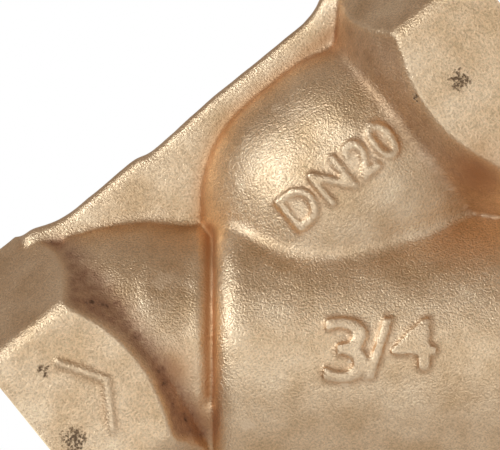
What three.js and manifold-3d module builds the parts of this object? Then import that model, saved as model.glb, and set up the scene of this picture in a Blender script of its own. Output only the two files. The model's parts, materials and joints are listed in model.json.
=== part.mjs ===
// Y strainer for threaded pipe, nominal size 3/4 inch (DN 20). Millimetres, +Z up.
// The run lies along +X, the flow direction, with the inlet face at x = 0. The branch holds the
// screen and points down and towards the outlet. Threads are plain cylinders with clearance.
import * as THREE from 'three';
import { mergeVertices } from 'three/addons/utils/BufferGeometryUtils.js';
import Module from 'manifold-3d';

const wasm = await Module();
wasm.setup();

// Run: two hexagon ends and what joins them
const RUN_LENGTH = 66;
const HEX_ACROSS_FLATS = 32;
const HEX_END = 13;
const HEX_BEVEL = 2.5;
const HEX_CORNER_RADIUS = 18.2;
const FACE_BEVEL = 1.2;
const NECK_RADIUS = 12.9;
const NECK_X = 14.7;
const SOCKET_RADIUS = 12.1;
const SOCKET_DEPTH = 11.5;
const INLET_PASSAGE_RADIUS = 10.5;

// Dome over the outlet passage
const DOME_X = 39.1;
const DOME_RADIUS = 14.1;
const DOME_END = 47.5;
const OUTLET_PASSAGE_RADIUS = 11;

// Web along the top of the run
const WEB_TOP = 16.4;
const WEB_THICKNESS = 7.2;
const WEB_BEVEL = 1;

// Branch: s runs along its axis from the middle of the seat partition
const BRANCH_ANGLE = THREE.MathUtils.degToRad(39);
const SEAT_X = 19;
const SEAT_Z = -4.6;
const NOSE_RADIUS = 14.1;
const NOSE_START = -18;
const NOSE_END = -1;
const GROOVE_RADIUS = 13;
const CHAMBER_START = 0.3;
const CHAMBER_RADIUS = 16.6;
const COLLAR_RADIUS = 17.2;
const COLLAR_START = 37;
const BRANCH_END = 43;
const SEAT_HALF = 1.4;
const SEAT_HOLE_RADIUS = 8.8;
const SEAT_POCKET_RADIUS = 11.3;
const SEAT_POCKET_END = 4.6;
const NOSE_PASSAGE_RADIUS = 10.8;
const CHAMBER_BORE_RADIUS = 13;
const THREAD_BORE_RADIUS = 13.6;
const THREAD_START = 32;

// Screen
const SUPPORT_OUTER = 10.3;
const SUPPORT_INNER = 9.8;
const MESH_OUTER = 9.5;
const MESH_INNER = 9.2;
const SCREEN_START = 2.5;
const SCREEN_END = 44.3;
const RING_OUTER = 11;
const RING_INNER = 8.5;
const RING_WALL = 0.5;
const RING_FLOOR = 0.6;
const RING_HEIGHT = 2.6;
const SEAT_RING_START = 1.6;
const BASE_RING_END = 45.2;
const PERFORATION_RADIUS = 1.6;
const PERFORATION_ROWS = 8;
const PERFORATION_COLUMNS = 12;
const PERFORATION_FIRST = 6.6;
const PERFORATION_PITCH = 4.8;

// Cap
const CAP_THREAD_RADIUS = 13.3;
const CAP_THREAD_START = 34;
const CAP_FLANGE_START = 44.6;
const CAP_FLANGE_END = 47;
const CAP_FLANGE_RADIUS = 15.9;
const CAP_ACROSS_FLATS = 27;
const CAP_END = 54.5;
const CAP_CUP_RADIUS = 11.3;
const CAP_CUP_FLOOR = 45.5;
const DRAIN_HOLE_RADIUS = 4.8;
const CAP_GASKET_START = 43.2;
const CAP_GASKET_END = 44.4;
const CAP_GASKET_INNER = 13.7;
const CAP_GASKET_OUTER = 15.7;

// Drain plug
const PLUG_THREAD_RADIUS = 4.5;
const PLUG_START = 48.5;
const PLUG_FLANGE_START = 55.9;
const PLUG_FLANGE_END = 57.1;
const PLUG_FLANGE_RADIUS = 7.6;
const PLUG_ACROSS_FLATS = 13;
const PLUG_END = 61.6;
const PLUG_GASKET_START = 54.7;
const PLUG_GASKET_END = 55.7;
const PLUG_GASKET_INNER = 4.9;
const PLUG_GASKET_OUTER = 7.2;

// Facets
const ROUND = 48;
const RING_ROUND = 36;
const HOLE_ROUND = 6;
const TUBE_ROUND = 24;
const ARC_STEPS = 8;
const SLIVER = 0.2;

// Directions and frames. A turned shape's own Y axis is laid along the run or the branch.
const RUN = new THREE.Vector3(1, 0, 0);
const UP = new THREE.Vector3(0, 0, 1);
const BRANCH = new THREE.Vector3(Math.cos(BRANCH_ANGLE), 0, -Math.sin(BRANCH_ANGLE));
const ACROSS_BRANCH = new THREE.Vector3(Math.sin(BRANCH_ANGLE), 0, Math.cos(BRANCH_ANGLE));
const SIDE = new THREE.Vector3(0, 1, 0);
const RUN_FRAME = new THREE.Matrix4().makeBasis(UP, RUN, SIDE);
const BRANCH_FRAME = new THREE.Matrix4()
  .makeBasis(ACROSS_BRANCH, BRANCH, SIDE)
  .setPosition(SEAT_X, 0, SEAT_Z);

const BRONZE = { color: 0xc49c6c, roughness: 0.55, metalness: 1 };
const BRASS = { color: 0xc9a75e, roughness: 0.4, metalness: 1 };
const STAINLESS = { color: 0xb8babb, roughness: 0.35, metalness: 1 };
const FIBRE = { color: 0x7d3b2b, roughness: 0.85, metalness: 0 };

// Drops the triangles that a pole's merged vertices leave without area.
function wholeTriangles(index) {
  const kept = [];
  for (let i = 0; i < index.length; i += 3) {
    const [a, b, c] = [index[i], index[i + 1], index[i + 2]];
    if (a !== b && b !== c && c !== a) kept.push(a, b, c);
  }
  return new Uint32Array(kept);
}

function toSolid(geometry) {
  geometry.deleteAttribute('normal');
  geometry.deleteAttribute('uv');
  const merged = mergeVertices(geometry);
  const mesh = new wasm.Mesh({
    numProp: 3,
    vertProperties: new Float32Array(merged.attributes.position.array),
    triVerts: wholeTriangles(merged.index.array),
  });
  return new wasm.Manifold(mesh);
}

function toGeometry(solid) {
  const mesh = solid.getMesh();
  const geometry = new THREE.BufferGeometry();
  geometry.setAttribute('position', new THREE.BufferAttribute(mesh.vertProperties, 3));
  geometry.setIndex(new THREE.BufferAttribute(mesh.triVerts, 1));
  geometry.computeVertexNormals();
  return geometry;
}

// A turned solid from [radius, station] pairs in order of station, closed on the axis.
function turned(frame, pairs, round = ROUND) {
  const first = pairs[0][1];
  const last = pairs[pairs.length - 1][1];
  const profile = [[0, first], ...pairs, [0, last]].map(([r, h]) => new THREE.Vector2(r, h));
  return toSolid(new THREE.LatheGeometry(profile, round).applyMatrix4(frame));
}

function cylinder(frame, radius, start, end, round = ROUND) {
  return turned(frame, [[radius, start], [radius, end]], round);
}

function ring(frame, outer, inner, start, end, round = RING_ROUND) {
  const hole = cylinder(frame, inner, start - 1, end + 1, round);
  return cylinder(frame, outer, start, end, round).subtract(hole);
}

// A hexagon bar with two of its flats facing the sides.
function hexagon(frame, acrossFlats, start, end) {
  const radius = acrossFlats / Math.sqrt(3);
  const bar = new THREE.CylinderGeometry(radius, radius, end - start, 6, 1, false, Math.PI / 2);
  bar.translate(0, (start + end) / 2, 0);
  return toSolid(bar.applyMatrix4(frame));
}

// Points of a quarter-like arc from one [radius, station] pair to another about a centre.
function arc(centre, radius, from, to) {
  const points = [];
  for (let i = 0; i <= ARC_STEPS; i += 1) {
    const angle = THREE.MathUtils.degToRad(from + ((to - from) * i) / ARC_STEPS);
    points.push([centre[0] + radius * Math.cos(angle), centre[1] + radius * Math.sin(angle)]);
  }
  return points;
}

function mirrored(pairs) {
  return pairs.map(([r, x]) => [r, RUN_LENGTH - x]).reverse();
}

// Bevelled at the face; at its inner end a cone leaves an arched edge on each flat, and a
// hollow fillet runs down to the neck.
function hexagonEnd() {
  const half = HEX_ACROSS_FLATS / 2;
  return [
    [HEX_CORNER_RADIUS - FACE_BEVEL, 0],
    [HEX_CORNER_RADIUS, FACE_BEVEL],
    [HEX_CORNER_RADIUS, HEX_END - HEX_BEVEL],
    [half, HEX_END],
    [half - 1.7, HEX_END + 0.5],
    [half - 2.7, HEX_END + 1.1],
    [NECK_RADIUS, NECK_X],
  ];
}

function inletEnd() {
  const bar = hexagon(RUN_FRAME, HEX_ACROSS_FLATS, 0, NOSE_RADIUS + NECK_X);
  const envelope = turned(RUN_FRAME, [...hexagonEnd(), [NECK_RADIUS, NECK_X + 3]]);
  return bar.intersect(envelope);
}

function outletEnd() {
  const bar = hexagon(RUN_FRAME, HEX_ACROSS_FLATS, DOME_X, RUN_LENGTH);
  const envelope = turned(RUN_FRAME, [[NECK_RADIUS, DOME_END], ...mirrored(hexagonEnd())]);
  return bar.intersect(envelope);
}

// The nose is coaxial with the branch and dies into the hollow beside the inlet hexagon.
function nose() {
  const barrel = cylinder(BRANCH_FRAME, NOSE_RADIUS, NOSE_START, NOSE_END);
  const flare = turned(RUN_FRAME, [
    [NECK_RADIUS - 0.1, NECK_X],
    [NECK_RADIUS + 0.6, NECK_X + 0.9],
    [NECK_RADIUS + 2, NECK_X + 1.9],
    [NECK_RADIUS + 5, NECK_X + 3.2],
    [NECK_RADIUS + 5, DOME_X],
  ]);
  const groove = cylinder(BRANCH_FRAME, GROOVE_RADIUS, NOSE_END - 1, CHAMBER_START + 1);
  return barrel.intersect(flare).add(groove);
}

function chamber() {
  return turned(BRANCH_FRAME, [
    [GROOVE_RADIUS - 1, CHAMBER_START],
    ...arc([CHAMBER_RADIUS - 2, CHAMBER_START + 2], 2, -90, 0),
    [CHAMBER_RADIUS, COLLAR_START - 1],
    [COLLAR_RADIUS, COLLAR_START],
    [COLLAR_RADIUS, BRANCH_END - FACE_BEVEL],
    [COLLAR_RADIUS - FACE_BEVEL, BRANCH_END],
  ]);
}

function dome() {
  return turned(RUN_FRAME, [
    ...arc([0, DOME_X], DOME_RADIUS, -90, 0).slice(1),
    [DOME_RADIUS, DOME_END],
    [DOME_RADIUS - 0.4, DOME_END + 1.8],
    [NECK_RADIUS, RUN_LENGTH - NECK_X],
    [NECK_RADIUS, RUN_LENGTH - NECK_X + 1],
  ]);
}

// A thin web fills the corner between nose and dome and joins the two hexagons along the top.
function web() {
  const outline = new THREE.Shape();
  outline.moveTo(HEX_END - 2, WEB_TOP + 1);
  outline.lineTo(HEX_END, WEB_TOP + 1);
  outline.lineTo(HEX_END + 3.5, WEB_TOP);
  outline.lineTo(RUN_LENGTH - HEX_END - 3, WEB_TOP);
  outline.lineTo(RUN_LENGTH - HEX_END, WEB_TOP + 1);
  outline.lineTo(RUN_LENGTH - HEX_END + 2, WEB_TOP + 1);
  outline.lineTo(RUN_LENGTH - HEX_END + 2, SOCKET_RADIUS);
  outline.lineTo(DOME_X, SOCKET_RADIUS - 1);
  outline.lineTo(SEAT_X + 7, NOSE_PASSAGE_RADIUS - 3);
  outline.lineTo(HEX_END - 2, SOCKET_RADIUS + 1);
  const flat = WEB_THICKNESS - 2 * WEB_BEVEL;
  const bevel = { bevelThickness: WEB_BEVEL, bevelSize: WEB_BEVEL, bevelSegments: 2 };
  const settings = { depth: flat, bevelEnabled: true, bevelOffset: -WEB_BEVEL, ...bevel };
  const plate = new THREE.ExtrudeGeometry(outline, settings);
  plate.rotateX(Math.PI / 2);
  plate.translate(0, flat / 2, 0);
  return toSolid(plate);
}

function inletHollow() {
  const socket = cylinder(RUN_FRAME, SOCKET_RADIUS, -1, SOCKET_DEPTH);
  const bend = cylinder(BRANCH_FRAME, NOSE_PASSAGE_RADIUS, NOSE_START, -SEAT_HALF);
  const straight = cylinder(RUN_FRAME, INLET_PASSAGE_RADIUS, SOCKET_DEPTH - 1, DOME_X);
  return socket.add(bend.intersect(straight));
}

function branchHollow() {
  return turned(BRANCH_FRAME, [
    [SEAT_HOLE_RADIUS, -SEAT_HALF - 1],
    [SEAT_HOLE_RADIUS, SEAT_HALF],
    [SEAT_POCKET_RADIUS, SEAT_HALF],
    [SEAT_POCKET_RADIUS, SEAT_POCKET_END],
    [CHAMBER_BORE_RADIUS, SEAT_POCKET_END],
    [CHAMBER_BORE_RADIUS, THREAD_START],
    [THREAD_BORE_RADIUS, THREAD_START],
    [THREAD_BORE_RADIUS, BRANCH_END - 0.5],
    [THREAD_BORE_RADIUS + 0.7, BRANCH_END],
    [THREAD_BORE_RADIUS + 0.7, BRANCH_END + 1],
  ]);
}

function outletHollow() {
  const rounded = arc([0, DOME_X], OUTLET_PASSAGE_RADIUS, -90, 0).slice(1);
  const mouth = RUN_LENGTH - SOCKET_DEPTH;
  return turned(RUN_FRAME, [
    ...rounded,
    [OUTLET_PASSAGE_RADIUS, mouth],
    [SOCKET_RADIUS, mouth],
    [SOCKET_RADIUS, RUN_LENGTH + 1],
  ]);
}

function body() {
  const shape = inletEnd().add(outletEnd()).add(nose()).add(chamber()).add(dome()).add(web());
  return shape.subtract(inletHollow()).subtract(branchHollow()).subtract(outletHollow());
}

// One radial drill through the screen tube's wall.
function perforation(station, angle) {
  const drill = new THREE.CylinderGeometry(
    PERFORATION_RADIUS,
    PERFORATION_RADIUS,
    SUPPORT_OUTER + 1,
    HOLE_ROUND,
  );
  drill.rotateX(Math.PI / 2);
  drill.translate(0, 0, SUPPORT_OUTER);
  drill.rotateY(angle);
  drill.translate(0, station, 0);
  return toSolid(drill.applyMatrix4(BRANCH_FRAME));
}

function supportTube() {
  const span = [SCREEN_START, SCREEN_END];
  let tube = ring(BRANCH_FRAME, SUPPORT_OUTER, SUPPORT_INNER, ...span, TUBE_ROUND);
  for (let row = 0; row < PERFORATION_ROWS; row += 1) {
    const stagger = (row % 2) / 2;
    for (let column = 0; column < PERFORATION_COLUMNS; column += 1) {
      const angle = ((column + stagger) * 2 * Math.PI) / PERFORATION_COLUMNS;
      tube = tube.subtract(perforation(PERFORATION_FIRST + row * PERFORATION_PITCH, angle));
    }
  }
  return tube;
}

function meshSleeve() {
  return ring(BRANCH_FRAME, MESH_OUTER, MESH_INNER, SCREEN_START, SCREEN_END);
}

// A channel-section ring that takes both screen ends; its floor is at the seat or cap side.
function endRing(start, channelStart, channelEnd) {
  const blank = ring(BRANCH_FRAME, RING_OUTER, RING_INNER, start, start + RING_HEIGHT);
  const outer = RING_OUTER - RING_WALL;
  const inner = RING_INNER + RING_WALL;
  return blank.subtract(ring(BRANCH_FRAME, outer, inner, channelStart, channelEnd));
}

function seatRing() {
  const start = SEAT_RING_START;
  return endRing(start, start + RING_FLOOR, start + RING_HEIGHT + 1);
}

function baseRing() {
  const start = BASE_RING_END - RING_HEIGHT;
  return endRing(start, start - 1, BASE_RING_END - RING_FLOOR);
}

// A hexagon head with its outer corners turned off at 30 degrees.
function head(acrossFlats, start, end) {
  const corner = acrossFlats / Math.sqrt(3);
  const drop = (corner - acrossFlats / 2 + 0.6) * Math.tan(Math.PI / 6);
  const envelope = turned(BRANCH_FRAME, [
    [corner, start],
    [corner, end - drop],
    [acrossFlats / 2 - 0.6, end],
  ]);
  return hexagon(BRANCH_FRAME, acrossFlats, start, end).intersect(envelope);
}

function cap() {
  const turnedPart = turned(BRANCH_FRAME, [
    [CAP_THREAD_RADIUS - 0.6, CAP_THREAD_START],
    [CAP_THREAD_RADIUS, CAP_THREAD_START + 0.6],
    [CAP_THREAD_RADIUS, CAP_FLANGE_START],
    [CAP_FLANGE_RADIUS, CAP_FLANGE_START],
    [CAP_FLANGE_RADIUS, CAP_FLANGE_END - 0.5],
    [CAP_FLANGE_RADIUS - 0.5, CAP_FLANGE_END],
  ]);
  const hollow = turned(BRANCH_FRAME, [
    [CAP_CUP_RADIUS, CAP_THREAD_START - 1],
    [CAP_CUP_RADIUS, CAP_CUP_FLOOR],
    [DRAIN_HOLE_RADIUS, CAP_CUP_FLOOR],
    [DRAIN_HOLE_RADIUS, CAP_END + 1],
  ], RING_ROUND);
  const grip = head(CAP_ACROSS_FLATS, CAP_FLANGE_END - SLIVER, CAP_END);
  return turnedPart.add(grip).subtract(hollow);
}

function capGasket() {
  const span = [CAP_GASKET_START, CAP_GASKET_END];
  return ring(BRANCH_FRAME, CAP_GASKET_OUTER, CAP_GASKET_INNER, ...span);
}

function drainPlug() {
  const turnedPart = turned(BRANCH_FRAME, [
    [PLUG_THREAD_RADIUS - 0.4, PLUG_START],
    [PLUG_THREAD_RADIUS, PLUG_START + 0.4],
    [PLUG_THREAD_RADIUS, PLUG_FLANGE_START],
    [PLUG_FLANGE_RADIUS, PLUG_FLANGE_START],
    [PLUG_FLANGE_RADIUS, PLUG_FLANGE_END],
  ], RING_ROUND);
  const grip = head(PLUG_ACROSS_FLATS, PLUG_FLANGE_END - SLIVER, PLUG_END);
  return turnedPart.add(grip);
}

function drainPlugGasket() {
  const span = [PLUG_GASKET_START, PLUG_GASKET_END];
  return ring(BRANCH_FRAME, PLUG_GASKET_OUTER, PLUG_GASKET_INNER, ...span);
}

function part(name, solid, look) {
  const mesh = new THREE.Mesh(toGeometry(solid), new THREE.MeshStandardMaterial(look));
  mesh.name = name;
  return mesh;
}

const strainer = new THREE.Group();
strainer.add(part('body', body(), BRONZE));
strainer.add(part('screen_support_tube', supportTube(), STAINLESS));
strainer.add(part('screen_mesh', meshSleeve(), STAINLESS));
strainer.add(part('screen_seat_ring', seatRing(), STAINLESS));
strainer.add(part('screen_base_ring', baseRing(), STAINLESS));
strainer.add(part('cap', cap(), BRASS));
strainer.add(part('cap_gasket', capGasket(), FIBRE));
strainer.add(part('drain_plug', drainPlug(), BRASS));
strainer.add(part('drain_plug_gasket', drainPlugGasket(), FIBRE));

export default strainer;
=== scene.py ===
"""Y strainer: the looks of a forged bronze strainer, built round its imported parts."""

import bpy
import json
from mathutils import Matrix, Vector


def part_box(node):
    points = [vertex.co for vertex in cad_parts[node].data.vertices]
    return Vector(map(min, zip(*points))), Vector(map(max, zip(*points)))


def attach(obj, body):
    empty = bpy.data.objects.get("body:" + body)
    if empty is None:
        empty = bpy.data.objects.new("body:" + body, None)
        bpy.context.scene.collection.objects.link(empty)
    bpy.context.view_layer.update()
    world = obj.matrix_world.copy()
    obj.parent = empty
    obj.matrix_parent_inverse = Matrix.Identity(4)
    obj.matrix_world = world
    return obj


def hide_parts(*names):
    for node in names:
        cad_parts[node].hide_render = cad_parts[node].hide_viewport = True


bl_info = {
    "name": "Y Strainer",
    "version": (1, 0, 0),
    "blender": (4, 5, 0),
    "location": "View3D > Sidebar > Strainer",
    "description": "Models a forged bronze Y strainer with its screen, cap and drain plug",
    "category": "Add Mesh",
}

import json
import math

import bpy
import numpy as np
from mathutils import Matrix, Vector

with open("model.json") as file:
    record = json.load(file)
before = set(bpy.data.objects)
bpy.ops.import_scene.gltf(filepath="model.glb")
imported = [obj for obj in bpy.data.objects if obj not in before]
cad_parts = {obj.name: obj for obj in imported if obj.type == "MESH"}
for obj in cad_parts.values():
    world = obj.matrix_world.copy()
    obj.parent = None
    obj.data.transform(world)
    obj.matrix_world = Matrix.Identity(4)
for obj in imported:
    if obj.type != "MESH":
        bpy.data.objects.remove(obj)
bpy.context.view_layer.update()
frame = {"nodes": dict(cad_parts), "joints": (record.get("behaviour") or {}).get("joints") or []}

MM = 0.001
FULL_TURN = 2 * math.pi

# Directions and places, from the cap's hinge: it lies on the branch axis at the seat.
CAP_HINGE = next(j for j in frame["joints"] if j["name"] == "cap_turn")
BRANCH = Vector(CAP_HINGE["axis"]).normalized()
SEAT = Vector(CAP_HINGE["pos_m"])
ACROSS = Vector((-BRANCH.z, 0, BRANCH.x))
NEAR_SIDE = Vector((0, -1, 0))
RUN_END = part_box("body")[1].x
LOWEST = min(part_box(node)[0].z for node in frame["nodes"])

# The view, m: the branch lies level in it, and the light directions are given in it.
VIEW_RIGHT = Vector((BRANCH.x, 0, BRANCH.z))
VIEW_UP = Vector((-BRANCH.z, 0, BRANCH.x))
AIM = Vector((0.03105, -0.008, 0.00326))
VIEW_WIDTH = 0.053
LIGHT_DISTANCE = 0.7


def basis(x_axis, y_axis, z_axis, origin=(0, 0, 0)):
    turn = Matrix((x_axis, y_axis, z_axis)).transposed().to_4x4()
    return Matrix.Translation(origin) @ turn


# A turned shape's own Z axis is laid along the run or along the branch.
RUN_FRAME = basis((0, 0, 1), NEAR_SIDE, (1, 0, 0))
BRANCH_FRAME = basis(ACROSS, NEAR_SIDE, BRANCH, SEAT)

# Body, mm: stations x along the run, s along the branch from the seat
RUN_LENGTH = RUN_END / MM
HEX_HALF = 16.0
HEX_END = 12.9
HEX_CORNER = 18.2
NECK_X = 14.7
NECK_RADIUS = 12.9
DOME_X = 39.1
DOME_RADIUS = 14.1
DOME_END = 45.0
WEB_TOP = 16.4
WEB_HALF = 3.6
NOSE_START = -15.4
NOSE_SWELL = ((12.9, NOSE_START), (13.45, -13.3), (14.15, -10), (14.5, -6.5), (14.05, -2.6))
NOSE_BEAD = ((14.1, -1.7), (14.2, -1.2), (14.1, -0.8))
GROOVE_FLOOR = ((13.9, -0.5), (13.5, 0.5), (13.5, 1.3))
GROOVE_FOOT = -5.6
CHAMBER_START = 0.95
CHAMBER_RADIUS = 16.6
BRANCH_END = 43.0
COLLAR_RADIUS = 17.2
SEAT_HALF = 1.4
SOCKET_DEPTH = 11.5
SOCKET_PITCH = 1.814
SOCKET_MINOR = 12.06
SOCKET_THREAD = 1.16
CAP_PITCH = 1.5
CAP_THREAD = 0.78
CAP_MALE_MINOR = 12.95
CAP_FEMALE_MINOR = 13.13
PLUG_PITCH = 0.907
PLUG_THREAD = 0.5
PLUG_MALE_MINOR = 4.15
PLUG_FEMALE_MINOR = 4.28
# Raised marks: text, width, height, then station and height of the lower left corner
RUN_MARK = ("DN20", 14.3, 4.4, 34.5, -0.75)
BRANCH_MARKS = (
    ("3", 4.6, 6.8, 12.1, -2.75),
    ("/", 2.9, 6.4, 16.4, -2.4),
    ("4", 4.8, 5.5, 19.1, -1.5),
)
RUN_MARK_RELIEF = 0.34
BRANCH_MARK_RELIEF = 0.45
ARROW_ARM = (5.8, 2.0, 0.6)
ARROW_TIP = 9.2
ARROW_SUNK = 0.74
ARROW_SLANT = 58
# Pitted patches of the skin: place and reach
PITTED_SPOTS = (
    (57.6, -16.0, 1.2, 2.2),
    (52.9, -15.6, 2.6, 1.0),
    (2.6, -16.0, -2.6, 2.6),
    (4.7, -16.0, 5.0, 1.3),
    (17.8, -13.4, 1.9, 0.7),
)
# Patches of painted shade, orange like light bounced between the walls, in the valleys beside the hexagons:
# place and reach
PAINTED_SHADE_SPOTS = (
    (53.2, -13.5, -7.4, 3.2),
    (14.8, -12.6, -3.3, 2.6),
    (13.4, -11.0, -8.6, 3.0),
)


# ---------------------------------------------------------------- modelling helpers


def put_down():
    bpy.ops.object.select_all(action="DESELECT")


def take_up(obj):
    put_down()
    obj.select_set(True)
    bpy.context.view_layer.objects.active = obj
    return obj


def named(name):
    obj = bpy.context.active_object
    obj.name = name
    obj.data.name = name
    return obj


def place(obj, matrix):
    obj.data.transform(matrix)
    obj.data.update()
    return obj


def mend(obj):
    """Merges doubles and turns the faces outwards."""
    take_up(obj)
    bpy.ops.object.mode_set(mode="EDIT")
    bpy.ops.mesh.select_all(action="SELECT")
    bpy.ops.mesh.remove_doubles(threshold=2e-7)
    bpy.ops.mesh.normals_make_consistent(inside=False)
    bpy.ops.object.mode_set(mode="OBJECT")
    return obj


def close_ends(obj, sides):
    """Caps every open end that has no more than the given number of sides."""
    take_up(obj)
    bpy.ops.object.mode_set(mode="EDIT")
    bpy.ops.mesh.select_all(action="SELECT")
    bpy.ops.mesh.fill_holes(sides=sides)
    bpy.ops.mesh.select_all(action="SELECT")
    bpy.ops.mesh.normals_make_consistent(inside=False)
    bpy.ops.object.mode_set(mode="OBJECT")
    return obj


def spun(name, pairs, steps=96):
    """A turned solid about Z from (radius, station) pairs in mm, pole to pole or closed."""
    put_down()
    bpy.ops.mesh.primitive_plane_add(size=MM, location=(0, 0, 0))
    obj = named(name)
    bpy.ops.object.mode_set(mode="EDIT")
    bpy.ops.mesh.select_all(action="SELECT")
    bpy.ops.mesh.merge(type="CENTER")
    radius, station = pairs[0]
    bpy.ops.transform.translate(value=(radius * MM, 0, station * MM))
    for (r0, s0), (r1, s1) in zip(pairs, pairs[1:]):
        step = ((r1 - r0) * MM, 0, (s1 - s0) * MM)
        bpy.ops.mesh.extrude_vertices_move(TRANSFORM_OT_translate={"value": step})
    bpy.ops.mesh.select_all(action="SELECT")
    bpy.ops.mesh.spin(steps=steps, angle=FULL_TURN, center=(0, 0, 0), axis=(0, 0, 1))
    bpy.ops.object.mode_set(mode="OBJECT")
    return mend(obj)


def poles(pairs):
    return [(0, pairs[0][1]), *pairs, (0, pairs[-1][1])]


def barrel(name, radius, start, end, steps=96):
    return spun(name, poles([(radius, start), (radius, end)]), steps)


def arc(radius, centre, start, end, count=10):
    """(radius, station) pairs round an arc, angles in degrees from the radial direction."""
    turns = [math.radians(start + (end - start) * i / count) for i in range(count + 1)]
    return [(centre[0] + radius * math.cos(t), centre[1] + radius * math.sin(t)) for t in turns]


def rows(radius, start, end, pitch):
    """A straight stretch of profile with enough rows for a thread to be formed on it."""
    count = max(2, round((end - start) / pitch * 8))
    return [(radius, start + (end - start) * i / count) for i in range(count + 1)]


def thread(obj, minor, depth, pitch, start, end):
    """Forms a right-handed thread between two stations of a turned solid's straight stretch."""
    for vertex in obj.data.vertices:
        x, y, z = (c / MM for c in vertex.co)
        radius = math.hypot(x, y)
        if radius < minor - 0.01 or not start - 0.01 <= z <= end + 0.01:
            continue
        phase = (z / pitch - math.atan2(y, x) / FULL_TURN) % 1.0
        ridge = min(max(2.9 * (0.5 - abs(phase - 0.5)) - 0.22, 0), 1)
        fade = min((z - start) / pitch, (end - z) / pitch, 0.35) / 0.35
        wanted = minor + depth * ridge * max(fade, 0)
        vertex.co.x, vertex.co.y = x * MM * wanted / radius, y * MM * wanted / radius
    return obj


def combine(target, tool, operation):
    before = len(target.data.polygons)
    take_up(target)
    join = target.modifiers.new("join", "BOOLEAN")
    join.operation = operation
    join.solver = "MANIFOLD"
    join.material_mode = "TRANSFER"
    join.object = tool
    bpy.ops.object.modifier_apply(modifier=join.name)
    if len(target.data.polygons) in {0, before}:
        raise RuntimeError(f"{tool.name} left no mark on {target.name}")
    bpy.data.objects.remove(tool)
    return target


def apply_modifier(obj, kind, **settings):
    take_up(obj)
    modifier = obj.modifiers.new(kind.lower(), kind)
    for key, value in settings.items():
        setattr(modifier, key, value)
    bpy.ops.object.modifier_apply(modifier=modifier.name)
    return obj


def hexagon(name, across_flats, start, end):
    """A hexagon bar along Z with flats facing Y, stations in mm."""
    put_down()
    bpy.ops.mesh.primitive_cylinder_add(
        vertices=6,
        radius=across_flats / math.sqrt(3) * MM,
        depth=(end - start) * MM,
        location=(0, 0, (start + end) / 2 * MM),
        rotation=(0, 0, math.radians(30)),
    )
    obj = named(name)
    bpy.ops.object.transform_apply(location=True, rotation=True, scale=True)
    return obj


def smooth(obj, degrees=32):
    take_up(obj)
    bpy.ops.object.shade_smooth_by_angle(angle=math.radians(degrees))
    return obj


def finish_piece(obj, body, slot, *nodes):
    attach(obj, body)
    if nodes:
        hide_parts(*nodes)
    return obj


# ---------------------------------------------------------------- body


def mirrored(pairs):
    return [(r, RUN_LENGTH - x) for r, x in reversed(pairs)]


def hexagon_profile(half_flats):
    """The turned envelope of one hexagon end: a bevel, and a flank at 45 degrees to the neck."""
    rim = HEX_CORNER - half_flats
    flank = [(HEX_CORNER, HEX_END - rim), (NECK_RADIUS + 0.4, HEX_END + half_flats - NECK_RADIUS - 0.4)]
    return [(HEX_CORNER - 0.7, 0), (HEX_CORNER, 0.7), *flank]


def hexagon_end(name, half_flats, mirror):
    """One pipe hexagon with rounded corners, trimmed by its turned envelope."""
    profile = hexagon_profile(half_flats) + [(NECK_RADIUS, NECK_X + 2)]
    bar = hexagon(name, 2 * half_flats, -4, NECK_X + 6)
    apply_modifier(bar, "BEVEL", width=1.25 * MM, segments=6, limit_method="ANGLE", angle_limit=0.8)
    if mirror:
        profile = mirrored(profile)
        place(bar, Matrix.Translation((0, 0, (RUN_LENGTH - NECK_X - 2) * MM)))
    envelope = spun("envelope", poles(profile), 144)
    combine(bar, envelope, "INTERSECT")
    return place(bar, RUN_FRAME)


def dome_pairs(radius):
    """A round end, a straight stretch and a long soft hollow that ends inside the hexagon."""
    drop = DOME_RADIUS - NECK_RADIUS
    hollow_end = RUN_LENGTH - NECK_X
    run_out = [i / 8 for i in range(9)]
    hollow = [
        (radius - drop * (1 - math.cos(math.pi * t)) / 2, DOME_END + (hollow_end - DOME_END) * t)
        for t in run_out
    ]
    return [
        (0, DOME_X - radius),
        *arc(radius, (0, DOME_X), -84, 0, 20),
        *hollow,
        (radius - drop, RUN_LENGTH - 8),
        (0, RUN_LENGTH - 8),
    ]


def dome(radius):
    return place(spun("dome", dome_pairs(radius), 128), RUN_FRAME)


def chamber():
    shoulder = arc(2.4, (CHAMBER_RADIUS - 2.4, CHAMBER_START + 2.0), -80, 0)
    pairs = [*shoulder, (CHAMBER_RADIUS, BRANCH_END - 3)]
    return place(spun("chamber", poles(pairs), 128), BRANCH_FRAME)


def collar():
    """The turned rim the cap closes on."""
    pairs = [
        (CHAMBER_RADIUS - 0.3, 36.0),
        (COLLAR_RADIUS, 37.2),
        (COLLAR_RADIUS, BRANCH_END - 0.7),
        (COLLAR_RADIUS - 0.7, BRANCH_END),
    ]
    return place(spun("collar", poles(pairs), 128), BRANCH_FRAME)


def nose():
    """Coaxial with the branch, from the inlet hexagon's flank to the floor of the groove."""
    shape = spun("nose", poles([*NOSE_SWELL, *NOSE_BEAD, *GROOVE_FLOOR]), 128)
    place(shape, BRANCH_FRAME)
    limit = place(barrel("limit", HEX_CORNER - 1.6, 6, DOME_X, 128), RUN_FRAME)
    return combine(shape, limit, "INTERSECT")


def neck():
    return place(barrel("neck", NECK_RADIUS, 8, 16, 128), RUN_FRAME)


def groove_end():
    """Under the run, nose and chamber grow together and close the groove."""
    bridge = barrel("bridge", NOSE_BEAD[0][0], -1.5, CHAMBER_START + 1.5, 128)
    under = plate("under", [(-20, -4), (GROOVE_FOOT, -4), (GROOVE_FOOT, 4), (-20, 4)], 20)
    return place(combine(bridge, under, "INTERSECT"), BRANCH_FRAME)


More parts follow.
